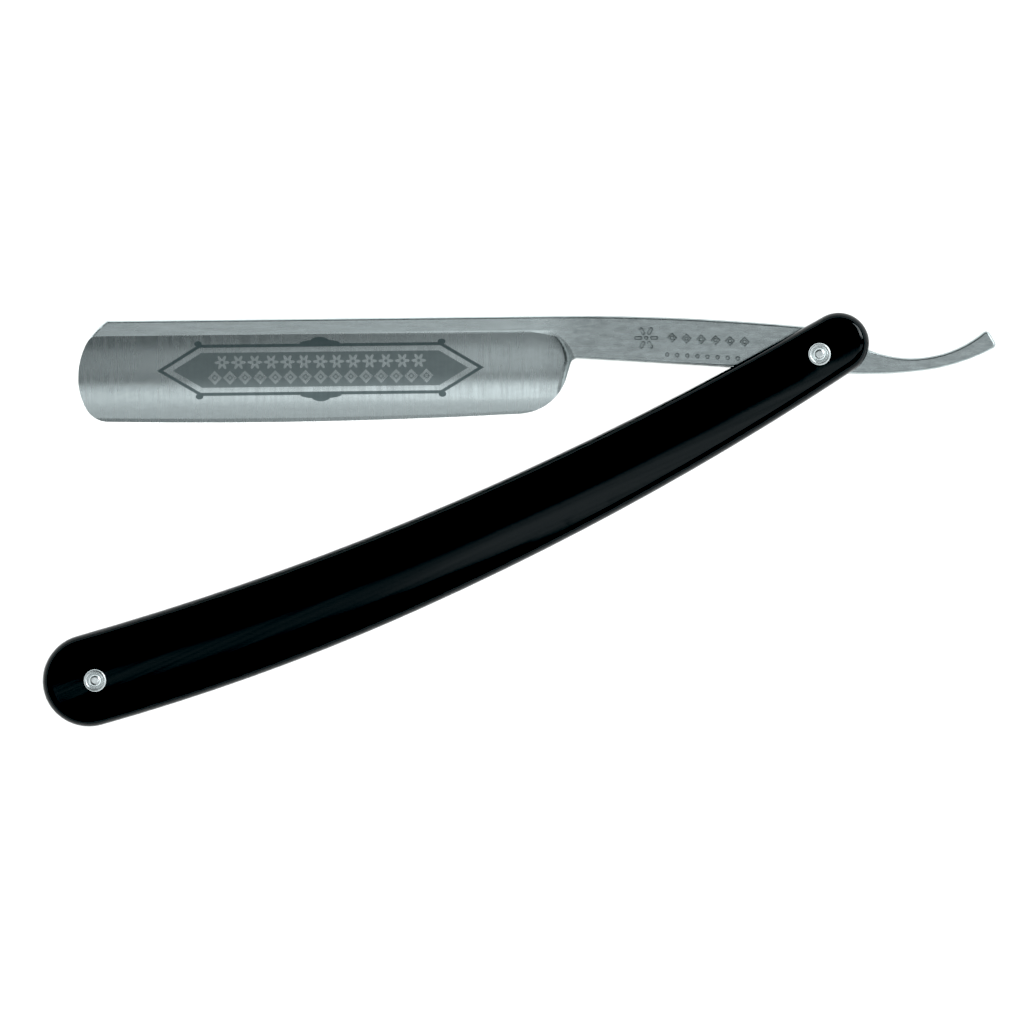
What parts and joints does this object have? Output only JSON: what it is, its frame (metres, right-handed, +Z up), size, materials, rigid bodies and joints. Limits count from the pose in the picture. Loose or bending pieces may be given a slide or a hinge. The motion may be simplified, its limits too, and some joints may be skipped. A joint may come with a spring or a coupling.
{
  "type": "straight razor",
  "caption": "Folding straight razor: a round-nosed hollow-ground steel blade with a curled tail, pinned between curved glossy black handle scales.",
  "frame": {"origin": "under the middle of the whole razor's outline, on the surface that it lies on, with the blade part open as modelled", "axes": "+Z up along the two pins, through the razor's thickness; +X along the handle from the wedge pin to the pivot pin and the tail; +Y to the side that the blade opens to"},
  "size_m": [0.1602, 0.062, 0.0108],
  "materials": {
    "blade_steel": "satin ground carbon steel",
    "scales": "buffed black plastic",
    "wedge": "moulded black plastic",
    "nickel_silver": "turned and peened nickel silver",
    "washers": "stamped brass"
  },
  "bodies": {
    "handle": {"front_scale": "scales", "back_scale": "scales", "wedge": "wedge", "pivot_pin": "nickel_silver", "wedge_pin": "nickel_silver", "pivot_collar_front": "nickel_silver", "pivot_collar_back": "nickel_silver", "wedge_collar_front": "nickel_silver", "wedge_collar_back": "nickel_silver", "pivot_washer_front": "washers", "pivot_washer_back": "washers"},
    "blade": {"blade": "blade_steel"}
  },
  "joints": [
    {"name": "blade_pivot", "type": "hinge", "parent": "handle", "child": "blade", "pos_m": [0.05361, -0.02021, 0.00542], "axis": [0, 0, -1], "range_deg": [-21.4, 310]}
  ]
}
